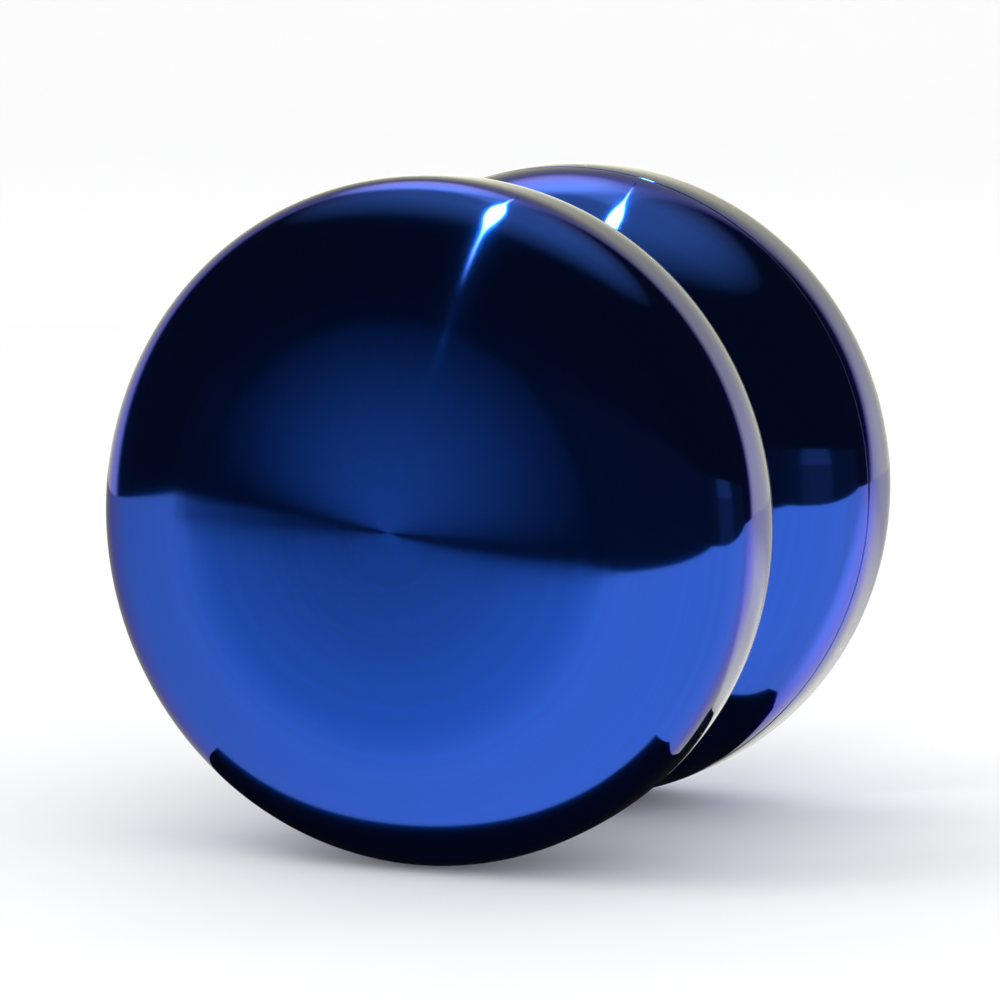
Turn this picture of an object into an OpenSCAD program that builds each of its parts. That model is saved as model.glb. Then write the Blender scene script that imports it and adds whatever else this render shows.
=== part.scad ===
// Yo-yo: two hollow turned aluminium halves that spin on a shielded ball bearing.
// Millimetres. The spin axis is Y, +Z is up, and the origin is the middle of the axle.
// Half A is on the -Y side and half B on the +Y side. The string loops round the bearing's
// outer ring, so in use that ring stands still and the halves turn.
// A profile is a list of [r, y] points: r from the spin axis, y outward from the mid-plane.

/* [Halves] */
// Diameter over the rims
diameter = 54; // [52:0.5:58]
// Overall width, from one outer face to the other
width = 50.6; // [49:0.2:54]
// Rise of the outer face above the rim's widest circle, as a share of the radius
face_rise = 0.33; // [0.3:0.01:0.36]
// How square the corner between the rim and the outer face is
face_power = 3.4; // [2.6:0.1:4]
// How square the corner between the rim and the inner side is
inner_power = 2.6; // [2.4:0.1:3]
// Wall of the outer cap
cap_wall = 1.2; // [1:0.1:1.6]
// Wall of the inner cup
cup_wall = 1.4; // [1.2:0.1:1.8]
// How far the cap wraps round the rim toward the mid-plane, as a share of the radius
cap_wrap = 0.12; // [0.1:0.01:0.15]
// Width of the fine groove at the seam between the cap and the cup
seam = 0.12; // [0.08:0.02:0.2]

/* [String gap] */
// Distance between the two hub faces
string_gap = 4.5; // [4.4:0.05:4.6]
// Inner radius of the recess that holds a response pad
pad_in = 7.4; // [7.4:0.1:7.6]
// Outer radius of the recess that holds a response pad
pad_out = 9.8; // [9.4:0.1:9.8]
// Depth of the recess that holds a response pad
pad_deep = 1; // [0.8:0.1:1.2]

/* [Axle] */
// Length of the threaded stud
stud_len = 22; // [18:0.5:23]

/* [Bearing] */
// Ball diameter
ball_d = 1.5875; // [1.56:0.0025:1.6]

/* [Hidden] */
$fn = 96;

R = diameter / 2;
half_gap = string_gap / 2;
rise = face_rise * R;
rim_y = width / 2 - rise;          // plane of the rim's widest circle
depth = rim_y - half_gap + 0.65;   // the inner curve would end this far inside, so it meets the hub flat
seam_y = rim_y - cap_wrap * R;
land_r = R - cap_wall;             // press fit between the cap and the cup
spigot_r = land_r - 1;
chamfer = 0.2;                     // on small turned edges

// Bearing, 1/4 x 1/2 x 3/16 inch
balls = 8;
bore_r = 3.175;
ring_r = 6.35;
ring_y = 2.381;                    // half its width
pitch_r = 4.7625;
race_r = ball_d / 2 + 0.02;
inner_land = 4.2;
outer_land = 5.3;
shield_y = 1.75;                   // the step that a shield sits on
shield_t = 0.15;
clip_t = 0.22;
clip_w = 0.5;
clip_sweep = 338;
seat_r = 5.75;
clip_r = 5.95;
slack = 0.02;                      // round a shield, a clip and a flange
cage_gap = 0.16;                   // between the cage or a shield and the rings
cage_back = 0.95;
cage_front = 1.35;
pocket_gap = 0.035;
mouth_r = 0.66;                    // a little under the ball, so the ball snaps in

// Hub
recess_r = ring_r + 0.35;          // clears the bearing's outer ring
recess_y = ring_y + 0.14;
flange_r = 4.9;
flange_y = 4.2;
web_y = 5.2;                       // back of the web round the boss
web_r = 11;
wall_r = 12.5;                     // where the back of the web runs into the wall's curve
boss_r = 7;
boss_top = 12;
boss_edge = 0.5;
boss_foot = 0.4;

// Axle
thread_r = 2;
stud_edge = 0.4;
socket_r = 1;                      // 2 mm across the flats
socket_deep = 2.2;
bush_r = 4;
bush_top = 11.5;
bush_mouth = 0.3;
relief_y = [7, 8.5];               // a shallow groove round the bush
relief_deep = 0.3;

// Spacer
post_r = bore_r - 0.01;
post_y = 0.2;                      // where the post starts, clear of the mid-plane
post_edge = 0.185;
shoulder_r = 3.9;
stud_gap = 0.1;

// Response pad
pad_gap = 0.08;
pad_edge = 0.14;

A = -1;
B = 1;

// A quarter of a superellipse about [0, rim_y], from angle t0 to t1; up is 1 outward, -1 inward
function curve(a, b, power, up, t0, t1, n = 28) =
    [for (i = [0 : n]) let (t = t0 + (t1 - t0) * i / n)
        [a * pow(cos(t), 2 / power), rim_y + up * b * pow(sin(t), 2 / power)]];

// The angle at which such a curve is drop below the rim plane, and at which its radius is r
function at_drop(drop, b, power) = asin(pow(drop / b, power / 2));
function at_radius(r, a, power) = acos(pow(r / a, power / 2));

function arc(c, r, a0, a1, n = 12) =
    [for (i = [0 : n]) let (a = a0 + (a1 - a0) * i / n) c + r * [cos(a), sin(a)]];

// Turns a profile round the spin axis, on one side of the mid-plane
module turned(side, points, sweep = 360)
    rotate([-90 * side, 0, 0])
        rotate_extrude(angle = sweep)
            polygon(points);

// Outer shell of a half: domed face, rounded rim and the lip behind the rim
module cap(side)
    color([0.10, 0.25, 0.72])
        turned(side, concat(
            curve(R, depth, inner_power, -1, at_drop(rim_y - seam_y, depth, inner_power), 0, 8),
            curve(R, rise, face_power, 1, 1, 90),
            curve(land_r, rise - cap_wall, face_power, 1, 90, 0),
            [[land_r, seam_y]]));

// Inner shell of a half: convex side of the string gap, with the hub boss behind it
module cup(side) {
    top = seam_y - seam;
    a_in = R - cup_wall;
    b_in = depth - cup_wall;
    hub = at_drop(rim_y - half_gap, depth, inner_power);
    color([0.08, 0.20, 0.60])
        turned(side, concat(
            [[spigot_r, rim_y], [land_r, rim_y], [land_r, top]],
            curve(R, depth, inner_power, -1, at_drop(rim_y - top, depth, inner_power), hub),
            [[pad_out, half_gap], [pad_out, half_gap + pad_deep],
             [pad_in, half_gap + pad_deep], [pad_in, half_gap],
             [recess_r, half_gap], [recess_r, recess_y], [flange_r, recess_y],
             [flange_r, flange_y], [bush_r, flange_y], [bush_r, boss_top],
             [boss_r - boss_edge, boss_top], [boss_r, boss_top - boss_edge],
             [boss_r, web_y + boss_foot], [boss_r + boss_foot, web_y], [web_r, web_y]],
            curve(a_in, b_in, inner_power, -1, at_radius(wall_r, a_in, inner_power),
                  at_radius(spigot_r, a_in, inner_power))));
}

// Threaded bush pressed into the boss
module axle_bush(side)
    color([0.78, 0.60, 0.28])
        turned(side, [
            [thread_r + bush_mouth, flange_y], [bush_r - chamfer, flange_y],
            [bush_r, flange_y + chamfer], [bush_r, relief_y[0]],
            [bush_r - relief_deep, relief_y[0] + relief_deep],
            [bush_r - relief_deep, relief_y[1] - relief_deep], [bush_r, relief_y[1]],
            [bush_r, bush_top - chamfer], [bush_r - chamfer, bush_top],
            [thread_r + bush_mouth, bush_top], [thread_r, bush_top - bush_mouth],
            [thread_r, flange_y + bush_mouth]]);

// Threaded stud with a hex socket in its B end
module axle_stud() {
    end = stud_len / 2;
    color([0.30, 0.31, 0.33])
        rotate([-90, 0, 0])
            difference() {
                rotate_extrude()
                    polygon([[0, -end], [thread_r - stud_edge, -end], [thread_r, stud_edge - end],
                             [thread_r, end - stud_edge], [thread_r - stud_edge, end], [0, end]]);
                translate([0, 0, end - socket_deep])
                    cylinder(r = socket_r / cos(30), h = socket_deep + 1, $fn = 6);
            }
}

// Bearing seat: a post for the inner ring, a shoulder, and a flange sunk in the hub
module spacer(side)
    color([0.72, 0.73, 0.75])
        turned(side, [
            [thread_r + stud_gap, post_y], [post_r - post_edge, post_y],
            [post_r, post_y + chamfer], [post_r, ring_y], [shoulder_r, ring_y],
            [shoulder_r, recess_y], [flange_r - slack, recess_y], [flange_r - slack, flange_y],
            [thread_r + stud_gap, flange_y]]);

// Silicone ring that grips the string on its way back
module response_pad(side) {
    near = pad_in + pad_gap;
    far = pad_out - pad_gap;
    top = half_gap + pad_gap;
    floor = half_gap + pad_deep;
    color([0.88, 0.89, 0.90])
        turned(side, [[near, floor], [near, top + pad_edge], [near + pad_edge, top],
                      [far - pad_edge, top], [far, top + pad_edge], [far, floor]]);
}

module bearing_inner_ring() {
    half = acos((pitch_r - inner_land) / race_r);
    edge = 0.15;
    color([0.80, 0.81, 0.83])
        turned(B, concat(
            [[bore_r, edge - ring_y], [bore_r + edge, -ring_y], [inner_land - edge, -ring_y],
             [inner_land, edge - ring_y]],
            arc([pitch_r, 0], race_r, 180 + half, 180 - half),
            [[inner_land, ring_y - edge], [inner_land - edge, ring_y], [bore_r + edge, ring_y],
             [bore_r, ring_y - edge]]));
}

// Its bore steps out at each end for a shield and the groove of the clip that holds it
module bearing_outer_ring() {
    half = acos((outer_land - pitch_r) / race_r);
    low = shield_y + shield_t - slack;
    high = shield_y + shield_t + clip_t + slack;
    color([0.80, 0.81, 0.83])
        turned(B, concat(
            [[ring_r, chamfer - ring_y], [ring_r, ring_y - chamfer], [ring_r - chamfer, ring_y],
             [seat_r, ring_y], [seat_r, high], [clip_r, high], [clip_r, low], [seat_r, low],
             [seat_r, shield_y], [outer_land, shield_y]],
            arc([pitch_r, 0], race_r, half, -half),
            [[outer_land, -shield_y], [seat_r, -shield_y], [seat_r, -low], [clip_r, -low],
             [clip_r, -high], [seat_r, -high], [seat_r, -ring_y], [ring_r - chamfer, -ring_y]]));
}

module at_ball(i)
    rotate([0, 360 / balls * (i - 0.5), 0])
        translate([pitch_r, 0, 0])
            children();

module bearing_ball(i)
    color([0.86, 0.87, 0.88])
        at_ball(i)
            sphere(d = ball_d);

// Crown cage: the balls snap in from its A side
module bearing_cage() {
    near = inner_land + cage_gap;
    far = outer_land - cage_gap;
    color([0.72, 0.58, 0.33])
        difference() {
            turned(B, [[near, -cage_back], [far, -cage_back], [far, cage_front], [near, cage_front]]);
            for (i = [1 : balls])
                at_ball(i) {
                    sphere(r = ball_d / 2 + pocket_gap);
                    rotate([90, 0, 0])
                        cylinder(r = mouth_r, h = 2);
                }
        }
}

module bearing_shield(side) {
    near = inner_land + cage_gap;
    far = seat_r - slack;
    high = shield_y + shield_t;
    color([0.76, 0.77, 0.79])
        turned(side, [[near, shield_y], [far, shield_y], [far, high], [near, high]]);
}

// Open wire ring that springs into the outer ring's groove
module bearing_clip(side) {
    near = clip_r - clip_w;
    far = clip_r - slack;
    low = shield_y + shield_t;
    color([0.60, 0.61, 0.63])
        turned(side, [[near, low], [far, low], [far, low + clip_t], [near, low + clip_t]], clip_sweep);
}

cap(A);  // cap_a
cap(B);  // cap_b
cup(A);  // cup_a
cup(B);  // cup_b
axle_stud();
axle_bush(A);  // axle_bush_a
axle_bush(B);  // axle_bush_b
spacer(A);  // spacer_a
spacer(B);  // spacer_b
response_pad(A);  // response_pad_a
response_pad(B);  // response_pad_b
bearing_inner_ring();
bearing_outer_ring();
bearing_cage();
bearing_ball(1);  // bearing_ball_1
bearing_ball(2);  // bearing_ball_2
bearing_ball(3);  // bearing_ball_3
bearing_ball(4);  // bearing_ball_4
bearing_ball(5);  // bearing_ball_5
bearing_ball(6);  // bearing_ball_6
bearing_ball(7);  // bearing_ball_7
bearing_ball(8);  // bearing_ball_8
bearing_shield(A);  // bearing_shield_a
bearing_shield(B);  // bearing_shield_b
bearing_clip(A);  // bearing_clip_a
bearing_clip(B);  // bearing_clip_b
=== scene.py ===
"""Yo-yo: blue anodised halves with a turned grain, on a shielded ball bearing.

Everything is in metres in the CAD frame: the spin axis is Y, +Z is up, and half A (-Y) is nearer the
camera. Profiles are lists of (r, y): r from the spin axis, y outward from the mid-plane. A piece named
NODE_fine stands for the CAD node NODE."""

import math

import bmesh
import bpy
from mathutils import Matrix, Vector

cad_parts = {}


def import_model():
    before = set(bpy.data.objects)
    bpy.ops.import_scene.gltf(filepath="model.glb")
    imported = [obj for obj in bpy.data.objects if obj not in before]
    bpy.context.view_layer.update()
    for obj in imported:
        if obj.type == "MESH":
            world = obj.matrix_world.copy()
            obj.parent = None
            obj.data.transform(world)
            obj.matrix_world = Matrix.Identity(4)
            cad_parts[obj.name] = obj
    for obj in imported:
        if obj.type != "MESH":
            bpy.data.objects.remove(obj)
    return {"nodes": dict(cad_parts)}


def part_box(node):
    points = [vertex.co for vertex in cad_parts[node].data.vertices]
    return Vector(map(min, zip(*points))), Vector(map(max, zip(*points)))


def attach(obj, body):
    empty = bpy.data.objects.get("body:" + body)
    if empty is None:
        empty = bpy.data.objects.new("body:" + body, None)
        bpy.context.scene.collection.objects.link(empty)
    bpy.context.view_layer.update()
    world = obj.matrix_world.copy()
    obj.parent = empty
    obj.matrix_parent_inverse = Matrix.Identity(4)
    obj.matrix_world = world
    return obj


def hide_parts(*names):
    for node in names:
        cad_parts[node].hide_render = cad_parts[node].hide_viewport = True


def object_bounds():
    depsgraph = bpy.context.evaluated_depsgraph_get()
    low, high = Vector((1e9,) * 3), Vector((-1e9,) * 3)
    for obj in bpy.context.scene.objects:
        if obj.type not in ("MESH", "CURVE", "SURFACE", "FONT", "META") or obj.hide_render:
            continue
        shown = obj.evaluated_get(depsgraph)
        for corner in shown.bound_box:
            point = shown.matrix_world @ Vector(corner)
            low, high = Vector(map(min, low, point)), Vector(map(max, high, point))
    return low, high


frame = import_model()
cad_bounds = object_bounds()

MM = 0.001
SIDES = {"a": -1, "b": 1}

# Driving sizes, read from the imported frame
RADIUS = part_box("cap_b")[1].x
FACE_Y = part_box("cap_b")[1].y
SEAM_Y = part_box("cap_b")[0].y
HALF_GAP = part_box("cup_b")[0].y
BEARING_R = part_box("bearing_outer_ring")[1].x
BEARING_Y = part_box("bearing_outer_ring")[1].y
PAD_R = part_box("response_pad_b")[1].x
PAD_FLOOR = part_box("response_pad_b")[1].y
FLANGE_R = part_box("spacer_b")[1].x
FLANGE_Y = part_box("spacer_b")[1].y
BUSH_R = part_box("axle_bush_b")[1].x
BUSH_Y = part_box("axle_bush_b")[1].y
STUD_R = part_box("axle_stud")[1].x
STUD_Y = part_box("axle_stud")[1].y

# Shape of a half, as in the CAD
FACE_RISE = 0.33 * RADIUS            # of the outer face above the rim's widest circle
FACE_POWER = 3.4                     # exponents of the superellipses
INNER_POWER = 2.6
RIM_Y = FACE_Y - FACE_RISE           # plane of the rim's widest circle
INNER_DEPTH = RIM_Y - HALF_GAP + 0.65 * MM
CAP_WALL = 1.2 * MM
CUP_WALL = 1.4 * MM
SEAM = 0.12 * MM
LAND_R = RADIUS - CAP_WALL
SPIGOT_R = LAND_R - 1.0 * MM

# Hub
PAD_CLEARANCE = 0.08 * MM            # between a response pad and its recess, and its rise above the hub
PAD_IN = PAD_R - 2.24 * MM
RECESS_R = BEARING_R + 0.35 * MM
RECESS_Y = BEARING_Y + 0.14 * MM
FIT = 0.02 * MM                      # round a flange, a ball, a shield or a clip
BOSS_R = BUSH_R + 3 * MM
BOSS_Y = BUSH_Y + 0.5 * MM
WEB_Y = FLANGE_Y + 1.0 * MM          # back of the web round the boss
WEB_R = 11 * MM
WALL_R = 12.5 * MM                   # where the web runs into the wall's curve
TINY_EDGE = 0.1 * MM                 # radii of rounded edges
SEAM_EDGE = 0.12 * MM
SMALL_EDGE = 0.2 * MM
BOSS_EDGE = 0.3 * MM
WEB_EDGE = 0.5 * MM
CAGE_GAP = 0.16 * MM                # between the cage and the bearing's outer ring

# Axle: M4 thread, hex socket, knurled bush
THREAD_PITCH = 0.7 * MM
THREAD_DEPTH = 0.42 * MM
THREAD_ROWS = 8                      # of mesh in each pitch
STUD_EDGE = 0.4 * MM
SOCKET_R = 1.0 * MM
SOCKET_DEEP = 2.2 * MM
BORE_R = STUD_R + FIT
BUSH_MOUTH = 0.3 * MM
BUSH_GROOVE = (7.0 * MM, 8.5 * MM)
GROOVE_DEEP = 0.3 * MM
KNURLS = 40
KNURL_DEPTH = 0.15 * MM

# Light of the dim wall on the right, as the metal mirrors it
RIGHT_WALL_GLOW = 0.04

# The turned finish: coarse in the middle of a face, polished further out
COARSE_TO = 0.58 * RADIUS
POLISHED_FROM = 0.70 * RADIUS


# ---------------------------------------------------------------- mesh tools


def curve(a, b, power, up, t0, t1, steps=64):
    """Part of a superellipse about (0, RIM_Y), from t0 to t1 degrees: up is 1 outward or -1 inward."""
    points = []
    for i in range(steps + 1):
        t = math.radians(t0 + (t1 - t0) * i / steps)
        r = a * max(math.cos(t), 0.0) ** (2 / power)
        points.append((r, RIM_Y + up * b * max(math.sin(t), 0.0) ** (2 / power)))
    return points


def angle_at_drop(drop, b, power):
    """The angle, in degrees, where the curve is this far from the rim plane."""
    return math.degrees(math.asin((drop / b) ** (power / 2)))


def angle_at_radius(r, a, power):
    """The angle, in degrees, where the curve is this far from the spin axis."""
    return math.degrees(math.acos((r / a) ** (power / 2)))


def filleted(points, corners, steps=6):
    """Rounds corners of a closed profile: corners maps a point's index to its fillet radius."""
    out = []
    count = len(points)
    for i, p in enumerate(points):
        radius = corners.get(i)
        if not radius:
            out.append(p)
            continue
        here = Vector(p)
        back = (Vector(points[i - 1]) - here).normalized()
        ahead = (Vector(points[(i + 1) % count]) - here).normalized()
        half = back.angle(ahead) / 2
        reach = radius / math.tan(half)
        centre = here + (back + ahead).normalized() * (radius / math.sin(half))
        start = here + back * reach - centre
        end = here + ahead * reach - centre
        for k in range(steps + 1):
            out.append(tuple(centre + start.slerp(end, k / steps) * radius))
    return out


def mesh_object(name, bm, sharp_deg=35):
    """An object made of bm, smooth but for edges that turn more than sharp_deg."""
    bmesh.ops.recalc_face_normals(bm, faces=bm.faces)
    for face in bm.faces:
        face.smooth = True
    for edge in bm.edges:
        edge.smooth = edge.calc_face_angle(0) < math.radians(sharp_deg)
    mesh = bpy.data.meshes.new(name)
    bm.to_mesh(mesh)
    bm.free()
    obj = bpy.data.objects.new(name, mesh)
    bpy.context.scene.collection.objects.link(obj)
    return obj


def lathe(name, side, profile, steps, reach=None):
    """Turns a closed profile round Y, on one side of the mid-plane.

    reach(r, y, angle) gives a point's own distance from the axis, as for a thread or a knurl."""
    bm = bmesh.new()
    rings = []
    for r, y in profile:
        if r < 1e-7:
            rings.append([bm.verts.new((0, side * y, 0))])
            continue
        ring = []
        for k in range(steps):
            angle = math.tau * k / steps
            own = reach(r, y, angle) if reach else r
            ring.append(bm.verts.new((own * math.cos(angle), side * y, own * math.sin(angle))))
        rings.append(ring)
    for ring, other in zip(rings, rings[1:] + rings[:1]):
        if len(ring) == 1 and len(other) == 1:
            continue
        for k in range(steps):
            n = (k + 1) % steps
            corners = [ring[k % len(ring)], ring[n % len(ring)], other[n % len(other)], other[k % len(other)]]
            bm.faces.new(list(dict.fromkeys(corners)))
    return mesh_object(name, bm)


# ---------------------------------------------------------------- materials


class Nodes:
    """A short way to write a node tree."""

    def __init__(self, name):
        self.material = bpy.data.materials.new(name)
        self.material.use_nodes = True
        self.tree = self.material.node_tree
        self.shader = self.tree.nodes["Principled BSDF"]

    def add(self, kind, **settings):
        node = self.tree.nodes.new("ShaderNode" + kind)
        for key, value in settings.items():
            setattr(node, key, value)
        return node

    def put(self, socket, value):
        if isinstance(value, bpy.types.NodeSocket):
            self.tree.links.new(value, socket)
        else:
            socket.default_value = value

    def math(self, operation, *values):
        node = self.add("Math", operation=operation)
        for socket, value in zip(node.inputs, values):
            self.put(socket, value)
        return node.outputs[0]

    def ramp(self, value, low, high, out_low, out_high):
        """out_low at low and below, out_high at high and above, and straight between."""
        node = self.add("MapRange", clamp=True)
        for key, item in zip(("Value", "From Min", "From Max", "To Min", "To Max"),
                             (value, low, high, out_low, out_high)):
            self.put(node.inputs[key], item)
        return node.outputs[0]

    def mix(self, share, low, high):
        node = self.add("Mix", data_type="RGBA")
        self.put(node.inputs[0], share)
        self.put(node.inputs[6], low)
        self.put(node.inputs[7], high)
        return node.outputs[2]

    def noise(self, vector, scale, detail=2.0, roughness=0.5):
        node = self.add("TexNoise")
        self.put(node.inputs["Vector"], vector)
        self.put(node.inputs["Scale"], scale)
        self.put(node.inputs["Detail"], detail)
        self.put(node.inputs["Roughness"], roughness)
        return node.outputs[0]

    def set(self, **values):
        """Sets inputs of the shader, with _ for each space in a name."""
        for key, value in values.items():
            self.put(self.shader.inputs[key.replace("_", " ")], value)

    def bump(self, height, strength, distance):
        """The surface normal, bent by a height."""
        node = self.add("Bump")
        self.put(node.inputs["Strength"], strength)
        self.put(node.inputs["Distance"], distance)
        self.put(node.inputs["Height"], height)
        return node.outputs[0]

    def turned(self):
        """(distance from the spin axis, a vector that is the same all round it, the place), in metres."""
        place = self.add("TexCoord").outputs["Object"]
        parts = self.add("SeparateXYZ")
        self.put(parts.inputs[0], place)
        x, y, z = parts.outputs
        radius = self.math("SQRT", self.math("ADD", self.math("MULTIPLY", x, x), self.math("MULTIPLY", z, z)))
        joined = self.add("CombineXYZ")
        self.put(joined.inputs[0], radius)
        self.put(joined.inputs[1], y)
        return radius, joined.outputs[0], place

    def unit_place(self):
        """The direction of the shaded point from the origin."""
        node = self.add("VectorMath", operation="NORMALIZE")
        self.put(node.inputs[0], self.add("TexCoord").outputs["Object"])
        return node.outputs[0]

    def height(self, vector):
        """The vector's Z."""
        node = self.add("SeparateXYZ")
        self.put(node.inputs[0], vector)
        return node.outputs[2]

    def toward(self, vector, axis):
        """The cosine of the angle between a unit vector and an axis."""
        node = self.add("VectorMath", operation="DOT_PRODUCT")
        self.put(node.inputs[0], vector)
        node.inputs[1].default_value = axis
        return node.outputs["Value"]

    def micro_groove(self, place):
        """A value from -1 to 1 that changes from point to point, mostly near 0."""
        parts = self.add("SeparateColor")
        speckle = self.add("TexWhiteNoise", noise_dimensions="3D")
        self.put(speckle.inputs["Vector"], place)
        self.put(parts.inputs[0], speckle.outputs["Color"])
        return self.math("SUBTRACT", self.math("ADD", parts.outputs[0], parts.outputs[1]), 1.0)

    def tipped_normal(self, tip):
        """The surface normal, tipped by tip radians away from the spin axis."""
        parts = self.add("SeparateXYZ")
        self.put(parts.inputs[0], self.add("TexCoord").outputs["Object"])
        outward = self.add("CombineXYZ")
        self.put(outward.inputs[0], parts.outputs[0])
        self.put(outward.inputs[2], parts.outputs[2])
        to_world = self.add("VectorTransform", vector_type="NORMAL", convert_from="OBJECT",
                            convert_to="WORLD")
        self.put(to_world.inputs[0], outward.outputs[0])
        push = self.add("VectorMath", operation="SCALE")
        self.put(push.inputs[0], to_world.outputs[0])
        self.put(push.inputs["Scale"], tip)
        total = self.add("VectorMath", operation="ADD")
        self.put(total.inputs[0], self.add("NewGeometry").outputs["Normal"])
        self.put(total.inputs[1], push.outputs[0])
        unit = self.add("VectorMath", operation="NORMALIZE")
        self.put(unit.inputs[0], total.outputs[0])
        return unit.outputs[0]

    def radial_tangent(self):
        """The direction of the turned grain, for an anisotropic shader."""
        return self.add("Tangent", direction_type="RADIAL", axis="Y").outputs[0]


def blue_anodised():
    """Turned metal under a blue film, with a coarser grain in the middle of each face.

    The grain is a random tip of the normal along the radius, so a highlight spreads into the two fans
    of a turned surface. Coat stands for the clear sealed film."""
    n = Nodes("blue_anodised")
    radius, around, place = n.turned()
    rings = n.noise(around, 1200, 3.0, 0.6)
    cloud = n.noise(place, 60, 2.0, 0.5)
    polish = n.ramp(radius, COARSE_TO, POLISHED_FROM, 0, 1)
    tone = n.ramp(rings, 0.3, 0.7, 0, 1)
    coarse = n.mix(tone, (0.0028, 0.074, 0.52, 1), (0.0046, 0.085, 0.58, 1))
    fine = n.mix(tone, (0.003, 0.080, 0.56, 1), (0.005, 0.092, 0.63, 1))
    grain = n.math("MULTIPLY", n.micro_groove(place), n.ramp(polish, 0, 1, 0.25, 0.02))
    waves = n.math("MULTIPLY", n.math("SUBTRACT", rings, 0.5), n.ramp(polish, 0, 1, 0.03, 0.004))
    normal = n.tipped_normal(n.math("ADD", grain, waves))
    streaks = n.ramp(n.math("ADD", rings, n.math("MULTIPLY", cloud, 0.3)), 0.4, 0.9, 0.92, 1.08)
    n.set(Base_Color=n.mix(polish, coarse, fine), Metallic=1.0, Specular_Tint=(0, 0, 0, 1),
          Anisotropic=1.0, Anisotropic_Rotation=0.25, Tangent=n.radial_tangent(), Normal=normal,
          Roughness=n.math("MULTIPLY", n.ramp(polish, 0, 1, 0.11, 0.10), streaks),
          Coat_Weight=n.ramp(polish, 0, 1, 0.5, 1), Coat_Roughness=0.04, Coat_IOR=1.4, Coat_Normal=normal)
    return n.material


def turned_metal(name, dark, light, rough):
    """Bare metal with the fine rings of a lathe."""
    n = Nodes(name)
    _, around, place = n.turned()
    grain = n.noise(around, 6000, 3.0, 0.6)
    cloud = n.noise(place, 400, 3.0, 0.6)
    n.set(Base_Color=n.mix(grain, dark, light), Metallic=1.0, Anisotropic=0.6, Anisotropic_Rotation=0.25,
          Roughness=n.ramp(cloud, 0.3, 0.7, rough * 0.8, rough * 1.2), Tangent=n.radial_tangent(),
          Normal=n.bump(grain, 0.12, 2e-5))
    return n.material


def polished_metal(name, colour, rough):
    """Bare metal with a faint haze."""
    n = Nodes(name)
    place = n.add("TexCoord").outputs["Object"]
    haze = n.noise(place, 900, 4.0, 0.6)
    dark = tuple(c * 0.92 for c in colour[:3]) + (1,)
    n.set(Base_Color=n.mix(haze, dark, colour), Metallic=1.0,
          Roughness=n.ramp(haze, 0.35, 0.7, rough * 0.7, rough * 1.3))
    return n.material


def silicone():
    """Milky, with a fine moulded grain."""
    n = Nodes("silicone")
    place = n.add("TexCoord").outputs["Object"]
    speckle = n.noise(place, 5000, 3.0, 0.6)
    n.set(Base_Color=n.mix(speckle, (0.74, 0.76, 0.79, 1), (0.83, 0.85, 0.88, 1)),
          Roughness=n.ramp(speckle, 0.3, 0.7, 0.42, 0.6), Subsurface_Weight=0.25,
          Subsurface_Radius=(0.0012, 0.0012, 0.0012), Normal=n.bump(speckle, 0.25, 3e-5))
    return n.material


# ---------------------------------------------------------------- pieces


def cap(side):
    """Outer shell of a half: domed face, rounded rim and the lip behind the rim."""
    wrap = angle_at_drop(RIM_Y - SEAM_Y, INNER_DEPTH, INNER_POWER)
    points = curve(RADIUS, INNER_DEPTH, INNER_POWER, -1, wrap, 0, 24)
    points += curve(RADIUS, FACE_RISE, FACE_POWER, 1, 1, 90, 120)
    points += curve(LAND_R, FACE_RISE - CAP_WALL, FACE_POWER, 1, 90, 0, 48)
    points += [(LAND_R, SEAM_Y)]
    corners = {0: TINY_EDGE, len(points) - 1: SEAM_EDGE}
    return lathe(f"cap_{side}_fine", SIDES[side], filleted(points, corners), 384)


def cup(side):
    """Inner shell of a half: the curved side of the string gap, the hub and the boss behind it."""
    top = SEAM_Y - SEAM
    start = angle_at_drop(RIM_Y - top, INNER_DEPTH, INNER_POWER)
    hub = angle_at_drop(RIM_Y - HALF_GAP, INNER_DEPTH, INNER_POWER)
    pad_out = PAD_R + PAD_CLEARANCE
    pad_in = PAD_IN - PAD_CLEARANCE
    flange_r = FLANGE_R + FIT
    inner_r = RADIUS - CUP_WALL
    spigot = [(SPIGOT_R, RIM_Y), (LAND_R, RIM_Y), (LAND_R, top)]
    outer = curve(RADIUS, INNER_DEPTH, INNER_POWER, -1, start, hub, 96)
    hub_face = [(pad_out, HALF_GAP), (pad_out, PAD_FLOOR), (pad_in, PAD_FLOOR), (pad_in, HALF_GAP),
                (RECESS_R, HALF_GAP), (RECESS_R, RECESS_Y), (flange_r, RECESS_Y), (flange_r, FLANGE_Y)]
    boss = [(BUSH_R, FLANGE_Y), (BUSH_R, BOSS_Y), (BOSS_R, BOSS_Y), (BOSS_R, WEB_Y), (WEB_R, WEB_Y)]
    inside = curve(inner_r, INNER_DEPTH - CUP_WALL, INNER_POWER, -1,
                   angle_at_radius(WALL_R, inner_r, INNER_POWER),
                   angle_at_radius(SPIGOT_R, inner_r, INNER_POWER), 48)
    first = len(spigot)
    face = first + len(outer)
    bore = face + len(hub_face)
    corners = {0: SMALL_EDGE, 1: SMALL_EDGE, first: TINY_EDGE,
               face: SEAM_EDGE, face + 3: SEAM_EDGE, face + 4: SEAM_EDGE, face + 6: TINY_EDGE,
               bore + 1: BOSS_EDGE, bore + 2: WEB_EDGE, bore + 3: WEB_EDGE}
    points = spigot + outer + hub_face + boss + inside
    return lathe(f"cup_{side}_fine", SIDES[side], filleted(points, corners), 384)


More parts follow.
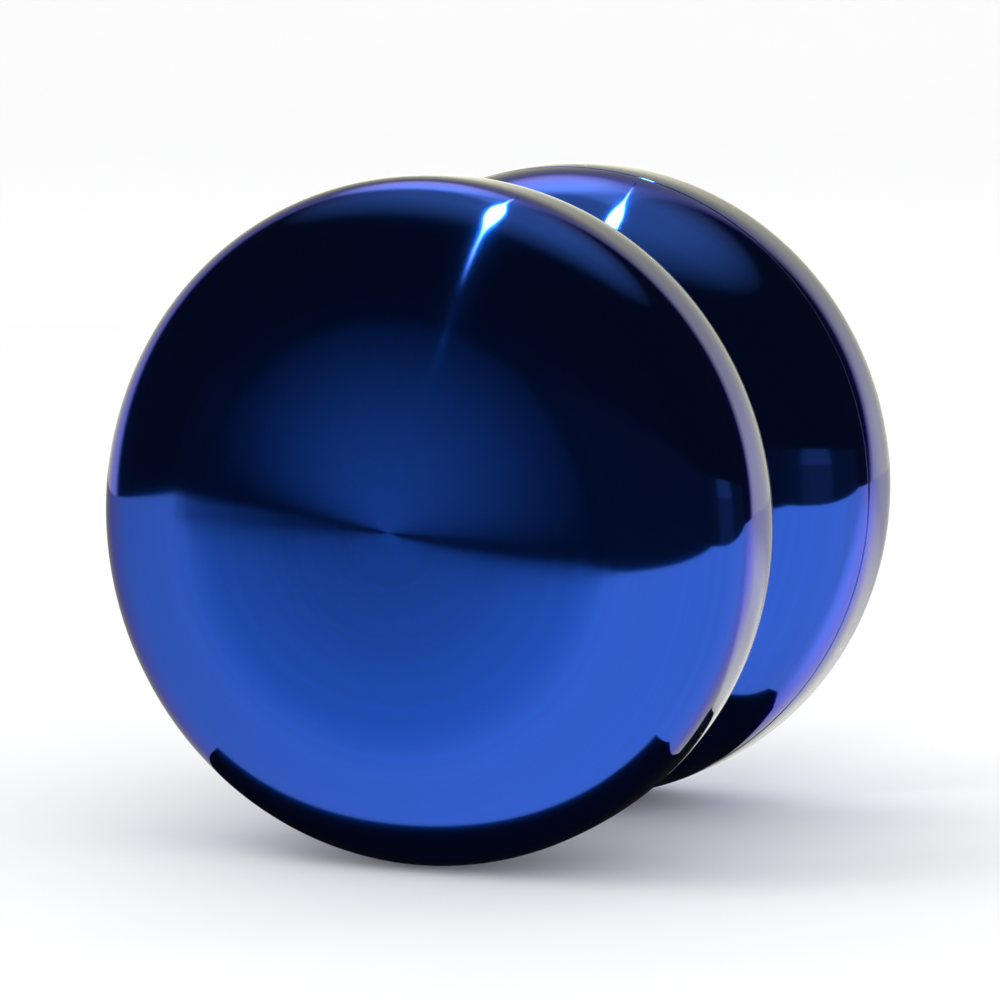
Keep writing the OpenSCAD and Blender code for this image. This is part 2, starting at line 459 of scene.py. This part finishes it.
def response_pad(side):
    """Silicone ring that grips the string, a little proud of the hub."""
    high = HALF_GAP + PAD_CLEARANCE
    points = [(PAD_IN, PAD_FLOOR), (PAD_IN, high), (PAD_R, high), (PAD_R, PAD_FLOOR)]
    corners = {1: SMALL_EDGE, 2: SMALL_EDGE}
    return lathe(f"response_pad_{side}_fine", SIDES[side], filleted(points, corners), 256)


def thread_drop(y, angle):
    """How far the stud's thread lies under its crest at a height y along the axis."""
    turn = (y / THREAD_PITCH - angle / math.tau) % 1
    flank = (abs(2 * turn - 1) - 0.2) / 0.65     # 0.2 of the pitch is root and 0.15 is crest
    return THREAD_DEPTH * (1 - min(max(flank, 0), 1))


def threaded_line(r, low, high):
    """Profile points from low to high, close enough together to carry the thread."""
    rows = round((high - low) / THREAD_PITCH * THREAD_ROWS)
    return [(r, low + (high - low) * i / rows) for i in range(rows + 1)]


def axle_stud():
    """M4 stud with a hex socket in its B end."""
    core = STUD_R - THREAD_DEPTH
    thread_end = STUD_Y - STUD_EDGE
    socket_floor = STUD_Y - SOCKET_DEEP

    def reach(r, y, angle):
        if r == STUD_R:
            return r - thread_drop(y, angle)
        if r == SOCKET_R:
            sixth = math.pi / 3
            return r / math.cos((angle + sixth / 2) % sixth - sixth / 2)
        return r

    points = [(0, -STUD_Y), (core, -STUD_Y)]
    points += threaded_line(STUD_R, -thread_end, thread_end)
    points += [(core, STUD_Y), (SOCKET_R, STUD_Y), (SOCKET_R, socket_floor), (0, socket_floor)]
    return lathe("axle_stud_fine", 1, points, 96, reach)


def axle_bush(side):
    """Brass bush with a thread inside, and two knurled bands with a plain groove between them."""
    low, high = BUSH_GROOVE
    groove_r = BUSH_R - GROOVE_DEEP
    mouth_r = BORE_R + BUSH_MOUTH

    def reach(r, y, angle):
        if r == BUSH_R:
            return r - KNURL_DEPTH * abs(math.sin(KNURLS * angle / 2))
        if r == BORE_R:
            return r - thread_drop(SIDES[side] * y, angle)
        return r

    points = [(mouth_r, FLANGE_Y), (BUSH_R - SMALL_EDGE, FLANGE_Y), (BUSH_R, FLANGE_Y + SMALL_EDGE),
              (BUSH_R, low), (groove_r, low + GROOVE_DEEP), (groove_r, high - GROOVE_DEEP), (BUSH_R, high),
              (BUSH_R, BUSH_Y - SMALL_EDGE), (BUSH_R - SMALL_EDGE, BUSH_Y), (mouth_r, BUSH_Y)]
    points += threaded_line(BORE_R, FLANGE_Y + BUSH_MOUTH, BUSH_Y - BUSH_MOUTH)[::-1]
    return lathe(f"axle_bush_{side}_fine", SIDES[side], points, 8 * KNURLS, reach)


def bearing_outer_ring():
    """The string seat, with the ball groove inside and a step and a clip groove at each end."""
    ball_low, ball_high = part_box("bearing_ball_1")
    pitch = math.hypot(ball_low.x + ball_high.x, ball_low.z + ball_high.z) / 2
    race = (ball_high.y - ball_low.y) / 2 + FIT
    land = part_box("bearing_cage")[1].x + CAGE_GAP
    shield_low, shield_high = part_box("bearing_shield_b")
    clip_low, clip_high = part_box("bearing_clip_b")
    seat = shield_high.x + FIT
    clip_r = clip_high.x + FIT
    upper = [(BEARING_R, BEARING_Y), (seat, BEARING_Y),
             (seat, clip_high.y + FIT), (clip_r, clip_high.y + FIT),
             (clip_r, clip_low.y - FIT), (seat, clip_low.y - FIT),
             (seat, shield_low.y), (land, shield_low.y)]
    half = math.acos((land - pitch) / race)
    turns = [half * (1 - i / 12) for i in range(25)]
    groove = [(pitch + race * math.cos(a), race * math.sin(a)) for a in turns]
    points = upper + groove + [(r, -y) for r, y in reversed(upper)]
    corners = {0: SMALL_EDGE, len(points) - 1: SMALL_EDGE}
    return lathe("bearing_outer_ring_fine", 1, filleted(points, corners), 256)


def bearing_ball(node):
    """A round ball where the CAD's ball is."""
    low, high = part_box(node)
    bm = bmesh.new()
    bmesh.ops.create_uvsphere(bm, u_segments=48, v_segments=24, radius=(high.y - low.y) / 2)
    bmesh.ops.translate(bm, verts=bm.verts, vec=(low + high) / 2)
    return mesh_object(node + "_fine", bm)


def replaced(obj, node, body, material):
    """obj takes a CAD node's place."""
    obj.data.materials.append(material)
    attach(obj, body)
    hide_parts(node)


def dressed(node, material):
    """A CAD node that stays, with a better material."""
    mesh = frame["nodes"][node].data
    mesh.materials.clear()
    mesh.materials.append(material)


BLUE = blue_anodised()
SILICONE = silicone()
SPACER_METAL = turned_metal("plain_aluminium", (0.66, 0.67, 0.69, 1), (0.82, 0.83, 0.85, 1), 0.25)
BRASS = turned_metal("bush_brass", (0.62, 0.43, 0.16, 1), (0.78, 0.57, 0.25, 1), 0.25)
STUD_METAL = turned_metal("stud_steel", (0.10, 0.10, 0.11, 1), (0.2, 0.2, 0.21, 1), 0.35)
RING_METAL = turned_metal("ring_steel", (0.52, 0.53, 0.54, 1), (0.66, 0.67, 0.68, 1), 0.14)
SHIELD_METAL = turned_metal("shield_steel", (0.5, 0.51, 0.53, 1), (0.64, 0.65, 0.67, 1), 0.28)
CLIP_METAL = polished_metal("clip_steel", (0.5, 0.5, 0.52, 1), 0.3)
BALL_METAL = polished_metal("ball_steel", (0.74, 0.75, 0.76, 1), 0.05)
CAGE_METAL = polished_metal("cage_brass", (0.72, 0.52, 0.24, 1), 0.25)

for side in SIDES:
    replaced(cap(side), "cap_" + side, "halves", BLUE)
    replaced(cup(side), "cup_" + side, "halves", BLUE)
    replaced(response_pad(side), "response_pad_" + side, "halves", SILICONE)
    replaced(axle_bush(side), "axle_bush_" + side, "halves", BRASS)
    dressed("spacer_" + side, SPACER_METAL)
    dressed("bearing_shield_" + side, SHIELD_METAL)
    dressed("bearing_clip_" + side, CLIP_METAL)
replaced(axle_stud(), "axle_stud", "halves", STUD_METAL)
dressed("bearing_inner_ring", RING_METAL)
replaced(bearing_outer_ring(), "bearing_outer_ring", "string_ring", RING_METAL)
dressed("bearing_cage", CAGE_METAL)
for i in range(1, 9):
    node = f"bearing_ball_{i}"
    replaced(bearing_ball(node), node, f"ball_{i}", BALL_METAL)


# ---------------------------------------------------------------- stage


def pale_floor():
    """Almost white and matt, with a trace of unevenness."""
    n = Nodes("pale_floor")
    grain = n.noise(n.add("TexCoord").outputs["Object"], 40, 2.0, 0.5)
    n.set(Base_Color=n.mix(grain, (0.9306, 0.9306, 0.9306, 1), (0.94, 0.94, 0.94, 1)), Roughness=0.8)
    return n.material


def sweep():
    """Pale floor under the rims that curves up into a backdrop far behind."""
    floor_z = cad_bounds[0].z
    front, flat, bend, high, half = -3.0, 2.0, 1.0, 3.0, 4.0
    line = [(front, floor_z), (flat, floor_z)]
    line += [(flat + bend * math.sin(a), floor_z + bend * (1 - math.cos(a)))
             for a in (math.pi / 2 * k / 16 for k in range(1, 17))]
    line += [(flat + bend, floor_z + high)]
    bm = bmesh.new()
    rows = [[bm.verts.new((x, y, z)) for x in (-half, half)] for y, z in line]
    for low, up in zip(rows, rows[1:]):
        bm.faces.new((low[0], low[1], up[1], up[0]))
    obj = mesh_object("sweep", bm)
    obj.data.materials.append(pale_floor())


def direction(azimuth, elevation):
    """A unit vector: azimuth 0 is -Y, where half A faces, and 90 is +X."""
    a, e = math.radians(azimuth), math.radians(elevation)
    return Vector((math.sin(a) * math.cos(e), -math.cos(a) * math.cos(e), math.sin(e)))


def smooth(value, low, high):
    """0 at low and below, 1 at high and above, with an even ease between."""
    share = min(max((value - low) / (high - low), 0), 1)
    return share * share * (3 - 2 * share)


def only_in_reflections(obj):
    """obj shows in mirrors and lights nothing else."""
    obj.visible_camera = False
    obj.visible_diffuse = False
    obj.visible_shadow = False
    obj.visible_transmission = False


def glow(name, tint=(1, 1, 1, 1)):
    """An emission material of this tint, returned with the input that takes its strength."""
    n = Nodes(name)
    n.tree.nodes.remove(n.shader)
    emission = n.add("Emission")
    emission.inputs["Color"].default_value = tint
    n.tree.links.new(emission.outputs[0], n.tree.nodes["Material Output"].inputs[0])
    return n, emission.inputs["Strength"]


def studio_walls(radius):
    """What the metal mirrors above the floor: a dark room, a soft glow overhead, and a pale backdrop behind
    the yo-yo that narrows upward, with a soft lamp near its top."""
    bm = bmesh.new()
    bmesh.ops.create_icosphere(bm, subdivisions=5, radius=radius)
    obj = mesh_object("studio_walls", bm)
    n, strength = glow("studio_walls", (1, 1, 0.84, 1))
    unit = n.unit_place()
    up = n.height(unit)
    level = n.math("SQRT", n.math("SUBTRACT", 1.0, n.math("MULTIPLY", up, up)))
    facing = n.math("DIVIDE", n.toward(unit, direction(-151, 0)), n.math("MAXIMUM", level, 0.01))
    narrowing = n.math("SUBTRACT", facing, n.math("MULTIPLY", up, 0.45))
    backdrop = n.math("MULTIPLY", n.ramp(narrowing, 0.42, 0.54, 0, 1), n.ramp(up, 0.05, 0.6, 1.4, 0.5))
    overhead = n.ramp(n.toward(unit, direction(-120, 86)), 0.74, 0.96, 0, 0.46)
    lamp = n.ramp(n.toward(unit, direction(-142, 58)), 0.955, 0.99, 0, 1.5)
    dark = 0.022
    n.put(strength, n.math("ADD", n.math("ADD", backdrop, lamp), n.math("ADD", overhead, dark)))
    obj.data.materials.append(n.material)
    only_in_reflections(obj)


def ribbon(name, pairs):
    """A strip of faces between pairs of points, with the nodes that light it."""
    bm = bmesh.new()
    rows = [[bm.verts.new(point) for point in pair] for pair in pairs]
    for low, high in zip(rows, rows[1:]):
        bm.faces.new((low[0], low[1], high[1], high[0]))
    obj = mesh_object(name, bm)
    n, strength = glow(name)
    obj.data.materials.append(n.material)
    only_in_reflections(obj)
    return n, strength


def strip_lamp(radius):
    """A narrow lamp in an arch overhead, brightest and widest a little in front of the top."""
    pairs = []
    for angle in range(14, 138, 4):
        t = math.radians(angle)
        x = -0.018 - 0.33 * (1 - math.sin(t))
        middle = Vector((x, -math.cos(t), math.sin(t))).normalized()
        reach = 0.0022 + 0.026 * (1 - smooth(abs(angle - 76), 4, 30))
        pairs.append([(middle + Vector((side * reach, 0, 0))) * radius for side in (-1, 1)])
    n, strength = ribbon("strip_lamp", pairs)
    near = n.ramp(n.toward(n.unit_place(), direction(-7, 74)), 0.57, 1.0, 0, 1)
    n.put(strength, n.math("MULTIPLY", n.math("POWER", near, 1.6), 40))


def lit_floor(z):
    """The floor as the metal mirrors it: dimmer at the back left, brighter behind the right rims."""
    half = 20 * RADIUS
    n, strength = ribbon("lit_floor", [[(x, y, z) for x in (-half, half)] for y in (-half, half)])
    unit = n.unit_place()
    even = n.ramp(n.toward(unit, direction(50, 0)), -1, 0.6, 0.5, 1.0)
    near = n.ramp(n.toward(unit, direction(140, -25)), 0.92, 0.97, 0, 0.7)
    far = n.ramp(n.toward(unit, direction(165, 0)), 0.85, 0.97, 0, 0.4)
    n.put(strength, n.math("ADD", even, n.math("ADD", near, far)))


def shade(z):
    """The yo-yo's own shade on the floor, with a waist between the two halves on the right."""
    left = -1.03
    outline = [(-0.97, 1.07), (-0.6, 1.07), (-0.25, 0.92), (0.1, 0.8), (0.3, 0.9), (0.45, 0.99), (0.6, 0.98),
               (0.72, 0.85), (0.8, 0.3)]
    pairs = [[(x * RADIUS, y * RADIUS, z) for x in (left, right)] for y, right in outline]
    _, strength = ribbon("shade", pairs)
    strength.default_value = 0.01


def wall(name, azimuth, distance, width, height, sideways=0, up=0):
    """An upright card that faces the middle, at a distance toward azimuth. Sizes are in radii."""
    across = direction(azimuth + 90, 0)
    middle = direction(azimuth, 0) * distance + across * sideways + Vector((0, 0, up))
    ends = [middle - across * width / 2, middle + across * width / 2]
    rise = Vector((0, 0, height / 2))
    return ribbon(name, [[(end + lift) * RADIUS for end in ends] for lift in (-rise, rise)])


def dark_walls():
    """The low dark room behind the camera and on the right, where the floor ends."""
    _, strength = wall("front_wall", azimuth=12.5, distance=6.28, width=16.6, height=2.2)
    strength.default_value = 0.03
    _, strength = wall("right_wall", azimuth=70, distance=8.45, width=24, height=2.2)
    strength.default_value = RIGHT_WALL_GLOW


def window():
    """A dim window in the right wall: a brighter band over a darker one."""
    for name, height, up, brightness in (("window", 0.6, 0.85, 0.13), ("sill", 1.5, -0.2, 0.05)):
        n, strength = wall(name, 70, 8.3, 8.7, height, sideways=-0.7, up=up)
        glass = n.ramp(n.toward(n.unit_place(), direction(80, 0)), 0.966, 0.976, 0, brightness)
        n.put(strength, n.math("ADD", glass, RIGHT_WALL_GLOW))


def world(strength):
    """An even white sky."""
    w = bpy.data.worlds.new("studio")
    bpy.context.scene.world = w
    w.use_nodes = True
    w.node_tree.nodes["Background"].inputs["Color"].default_value = (1, 1, 1, 1)
    w.node_tree.nodes["Background"].inputs["Strength"].default_value = strength


def area_light(name, place, size, power):
    """A round soft light that shines on the middle and doesn't show in mirrors."""
    data = bpy.data.lights.new(name, "AREA")
    data.shape = "DISK"
    data.size = size
    data.energy = power
    obj = bpy.data.objects.new(name, data)
    obj.location = place
    obj.rotation_euler = (-Vector(place)).to_track_quat("-Z", "Y").to_euler()
    obj.visible_glossy = False
    bpy.context.scene.collection.objects.link(obj)


def camera(azimuth, elevation, distance, lens, right_shift, up_shift):
    """Looks at the object from azimuth and elevation, moved sideways in its own plane."""
    back = direction(azimuth, elevation)
    right = direction(azimuth + 90, 0)
    data = bpy.data.cameras.new("camera")
    data.lens = lens
    data.sensor_width = 36
    obj = bpy.data.objects.new("camera", data)
    obj.rotation_euler = (-back).to_track_quat("-Z", "Y").to_euler()
    obj.location = back * distance + right * right_shift + back.cross(right) * up_shift
    bpy.context.scene.collection.objects.link(obj)
    bpy.context.scene.camera = obj


sweep()
studio_walls(15.6 * RADIUS)
strip_lamp(12.5 * RADIUS)
lit_floor(cad_bounds[0].z + 0.01 * MM)
shade(cad_bounds[0].z + 0.02 * MM)
dark_walls()
window()
world(1.06)
area_light("key", (-0.5, -0.4, 0.9), 0.6, 1.5)
camera(azimuth=21.4, elevation=6.3, distance=12.63 * RADIUS, lens=150, right_shift=-0.026 * RADIUS,
       up_shift=-0.002 * RADIUS)
bpy.context.scene.view_settings.view_transform = "Standard"
